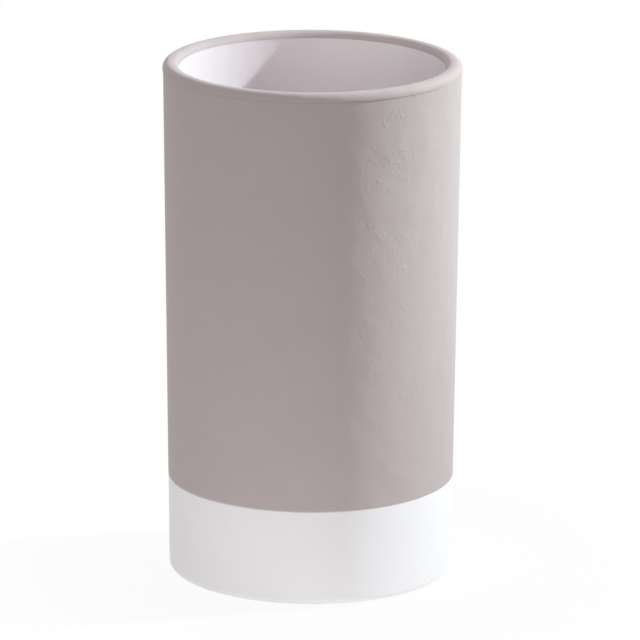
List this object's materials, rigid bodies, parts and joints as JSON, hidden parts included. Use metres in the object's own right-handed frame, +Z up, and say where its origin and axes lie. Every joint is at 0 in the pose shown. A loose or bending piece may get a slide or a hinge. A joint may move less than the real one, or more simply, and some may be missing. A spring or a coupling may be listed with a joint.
{
  "type": "toothbrush holder",
  "caption": "Round double-walled toothbrush tumbler with a taupe sleeve and rounded rim, a white inner cup and a white base band on soft pads.",
  "frame": {"origin": "centre of the footprint, on the surface that the pads stand on", "axes": "+Z up along the axis that every wall is turned about; +X and +Y run between the pads"},
  "size_m": [0.0702, 0.0702, 0.1235],
  "materials": {
    "taupe_plastic": "satin, fine moulded grain",
    "white_plastic": "satin",
    "clear_silicone": "matte",
    "pad_foam": "matte"
  },
  "bodies": {
    "root": {"outer_sleeve": "taupe_plastic", "rim_ring": "taupe_plastic", "inner_cup": "white_plastic", "rim_seal": "clear_silicone", "base": "white_plastic", "foot_pad_1": "pad_foam", "foot_pad_2": "pad_foam", "foot_pad_3": "pad_foam", "foot_pad_4": "pad_foam"}
  },
  "joints": []
}
